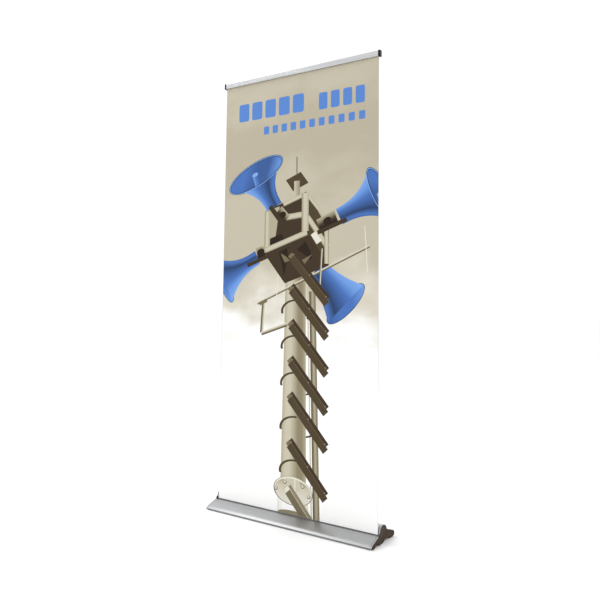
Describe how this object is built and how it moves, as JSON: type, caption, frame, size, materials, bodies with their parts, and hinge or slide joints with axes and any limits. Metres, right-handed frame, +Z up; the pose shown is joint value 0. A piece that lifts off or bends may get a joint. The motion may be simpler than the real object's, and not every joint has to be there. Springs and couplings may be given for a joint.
{
  "type": "roll-up banner stand",
  "caption": "Free-standing retractable banner stand: a wide aluminium base with a spring roller, a hinged clamp rail and a sectional support pole behind the sheet.",
  "frame": {"origin": "on the floor, under the middle of the base's outer box", "axes": "+X along the base to the viewer's right, +Y from the printed face towards the back, +Z up"},
  "size_m": [0.872, 0.206, 2.0605],
  "materials": {
    "satin_aluminium": "satin silver anodised extrusion, fine lengthwise drawing lines",
    "silver_plastic": "silver painted moulding, fine sparkle",
    "dark_plastic": "fine moulded grain, semi-matt",
    "black_plastic": "satin moulded",
    "rubber": "matt",
    "steel": "zinc plated, turned",
    "spring_steel": "oiled, dark",
    "felt": "short pile",
    "nylon": "natural, waxy",
    "leader_film": "plain white film",
    "printed_film": "matt laminated print, grey back",
    "rail_aluminium": "bright silver anodised extrusion",
    "tube_aluminium": "natural anodised drawn tube",
    "elastic": "braided cover"
  },
  "bodies": {
    "base": {"base_housing": "satin_aluminium", "end_cap_left": "silver_plastic", "end_cap_right": "silver_plastic", "side_cover_left": "dark_plastic", "side_cover_right": "dark_plastic", "rubber_pad_toe_left": "rubber", "rubber_pad_toe_right": "rubber", "rubber_pad_middle_left": "rubber", "rubber_pad_middle_right": "rubber", "rubber_pad_tail_left": "rubber", "rubber_pad_tail_right": "rubber", "cap_screw_front_left": "steel", "cap_screw_front_right": "steel", "cap_screw_middle_left": "steel", "cap_screw_middle_right": "steel", "cap_screw_rear_left": "steel", "cap_screw_rear_right": "steel", "slot_guide_strip": "black_plastic", "slot_felt_strip": "felt", "bearing_bush": "nylon", "idler_pin": "steel", "spring_shaft": "steel", "spring_anchor": "nylon", "torsion_spring": "spring_steel", "banner_leader": "leader_film", "banner_sheet": "printed_film", "pole_socket": "black_plastic", "socket_collar": "black_plastic", "collar_screw_left": "steel", "collar_screw_right": "steel"},
    "roller": {"roller_tube": "tube_aluminium", "roller_plug_idler": "nylon", "roller_plug_drive": "nylon", "banner_roll": "leader_film"},
    "rail": {"rail_body": "rail_aluminium", "rail_end_cap_left": "black_plastic", "rail_end_cap_right": "black_plastic", "rail_clip_left": "spring_steel", "rail_clip_right": "spring_steel"},
    "jaw": {"rail_jaw": "rail_aluminium", "grip_strip": "rubber"},
    "pole": {"pole_foot_plug": "black_plastic", "pole_lower": "tube_aluminium", "pole_middle": "tube_aluminium", "pole_upper": "tube_aluminium", "ferrule_lower": "steel", "ferrule_upper": "steel", "bungee_cord": "elastic", "pole_hook": "black_plastic"}
  },
  "joints": [
    {"name": "banner_draw", "type": "slide", "parent": "base", "child": "rail", "axis": [0, 0, 1], "range_m": [-1.968, 0], "deforming": ["banner_sheet"]},
    {"name": "roller_spin", "type": "hinge", "parent": "base", "child": "roller", "pos_m": [0, 0.002, 0.041], "axis": [1, 0, 0], "range_deg": [0, 5600]},
    {"name": "jaw_snap", "type": "hinge", "parent": "rail", "child": "jaw", "pos_m": [0, -0.0322, 2.0589], "axis": [-1, 0, 0], "range_deg": [0, 40]},
    {"name": "pole_tip", "type": "hinge", "parent": "base", "child": "pole", "pos_m": [0, 0.049, 0.0165], "axis": [-1, 0, 0], "range_deg": [0, 1.4]}
  ],
  "couplings": [
    {"joint": "roller_spin", "follows": "banner_draw", "rad_per_m": -49.5}
  ]
}
